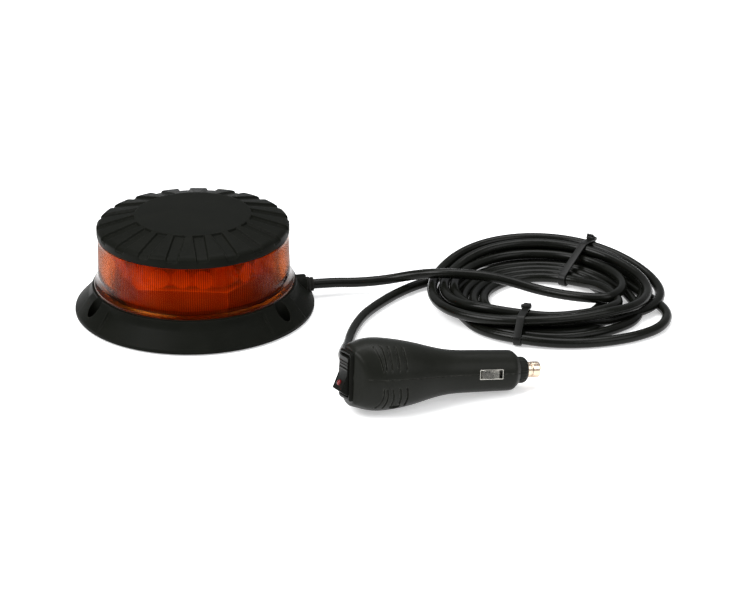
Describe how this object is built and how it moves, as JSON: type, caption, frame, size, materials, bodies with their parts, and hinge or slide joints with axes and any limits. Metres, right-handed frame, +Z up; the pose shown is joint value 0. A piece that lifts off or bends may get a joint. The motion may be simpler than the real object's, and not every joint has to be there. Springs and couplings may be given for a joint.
{
  "type": "magnetic led warning beacon",
  "caption": "Low round amber LED warning beacon with a grooved black cap, flanged magnetic base, and a coiled cord with a switched 12 V plug.",
  "frame": {"origin": "middle of the beacon's underside, on the plane of the rubber pad", "axes": "+Z up out of the cap, +X towards the coiled cord, +Y away from the plug, right-handed"},
  "size_m": [0.3173, 0.2158, 0.0546],
  "materials": {
    "black_plastic": "moulded satin black",
    "rubber_pad": "matte black rubber",
    "magnet": "nickel plated ferrous magnet",
    "steel": "zinc plated steel",
    "seal": "soft black rubber",
    "amber_lens": "clear amber polycarbonate with fine vertical prisms",
    "core": "die cast aluminium",
    "circuit_board": "white solder mask",
    "emitter": "phosphor coated LED",
    "optic": "clear collimator",
    "driver_parts": "potted electronic parts",
    "cord_jacket": "black PVC jacket, slight sheen",
    "tie_nylon": "black nylon",
    "rocker": "satin black",
    "pilot_red": "red indicator lens",
    "nickel": "nickel plated brass",
    "fuse_glass": "glass tube fuse with metal caps"
  },
  "bodies": {
    "beacon": {"base_housing": "black_plastic", "base_pad": "rubber_pad", "base_magnet_1": "magnet", "base_magnet_2": "magnet", "base_magnet_3": "magnet", "cap_screws": "steel", "cord_grommet": "seal", "lower_seal": "seal", "upper_seal": "seal", "lens": "amber_lens", "top_cap": "black_plastic", "light_core": "core", "light_board_1": "circuit_board", "light_board_2": "circuit_board", "light_board_3": "circuit_board", "light_board_4": "circuit_board", "light_board_5": "circuit_board", "light_board_6": "circuit_board", "light_emitters_1": "emitter", "light_emitters_2": "emitter", "light_emitters_3": "emitter", "light_emitters_4": "emitter", "light_emitters_5": "emitter", "light_emitters_6": "emitter", "light_optics_1": "optic", "light_optics_2": "optic", "light_optics_3": "optic", "light_optics_4": "optic", "light_optics_5": "optic", "light_optics_6": "optic", "driver_board": "circuit_board", "driver_parts": "driver_parts", "beacon_lead": "cord_jacket", "plug_lead": "cord_jacket", "cord_coil": "cord_jacket", "cable_tie_front": "tie_nylon", "cable_tie_back": "tie_nylon", "plug_shell_upper": "black_plastic", "plug_shell_lower": "black_plastic", "plug_shell_screws": "steel", "strain_relief": "seal", "switch_bezel": "black_plastic", "switch_case": "black_plastic", "rocker_pin": "steel", "tip_spring": "steel", "spring_seat": "nickel"},
    "rocker_switch": {"rocker": "rocker", "pilot_light": "pilot_red"},
    "nose_ring": {"nose_ring": "black_plastic"},
    "tip": {"tip_contact": "nickel", "fuse": "fuse_glass"},
    "contact_near": {"side_contact_near": "nickel"},
    "contact_far": {"side_contact_far": "nickel"}
  },
  "joints": [
    {"name": "rocker_tilt", "type": "hinge", "parent": "beacon", "child": "rocker_switch", "pos_m": [0.08544, -0.13099, 0.02033], "axis": [0.3291, -0.9175, 0.2234], "range_deg": [0, 22]},
    {"name": "nose_ring_turn", "type": "hinge", "parent": "beacon", "child": "nose_ring", "pos_m": [0.16942, -0.10338, 0.01003], "axis": [0.9436, 0.3102, -0.1158], "range_deg": [0, 1080]},
    {"name": "tip_press", "type": "slide", "parent": "beacon", "child": "tip", "axis": [-0.9436, -0.3102, 0.1158], "range_m": [0, 0.0025], "stiffness_N_per_m": 1500, "springref_m": -0.002, "deforming": ["tip_spring"]},
    {"name": "contact_near_press", "type": "slide", "parent": "beacon", "child": "contact_near", "axis": [-0.3291, 0.9175, -0.2234], "range_m": [0, 0.0012], "stiffness_N_per_m": 1200, "springref_m": -0.001},
    {"name": "contact_far_press", "type": "slide", "parent": "beacon", "child": "contact_far", "axis": [0.3291, -0.9175, 0.2234], "range_m": [0, 0.0012], "stiffness_N_per_m": 1200, "springref_m": -0.001}
  ]
}
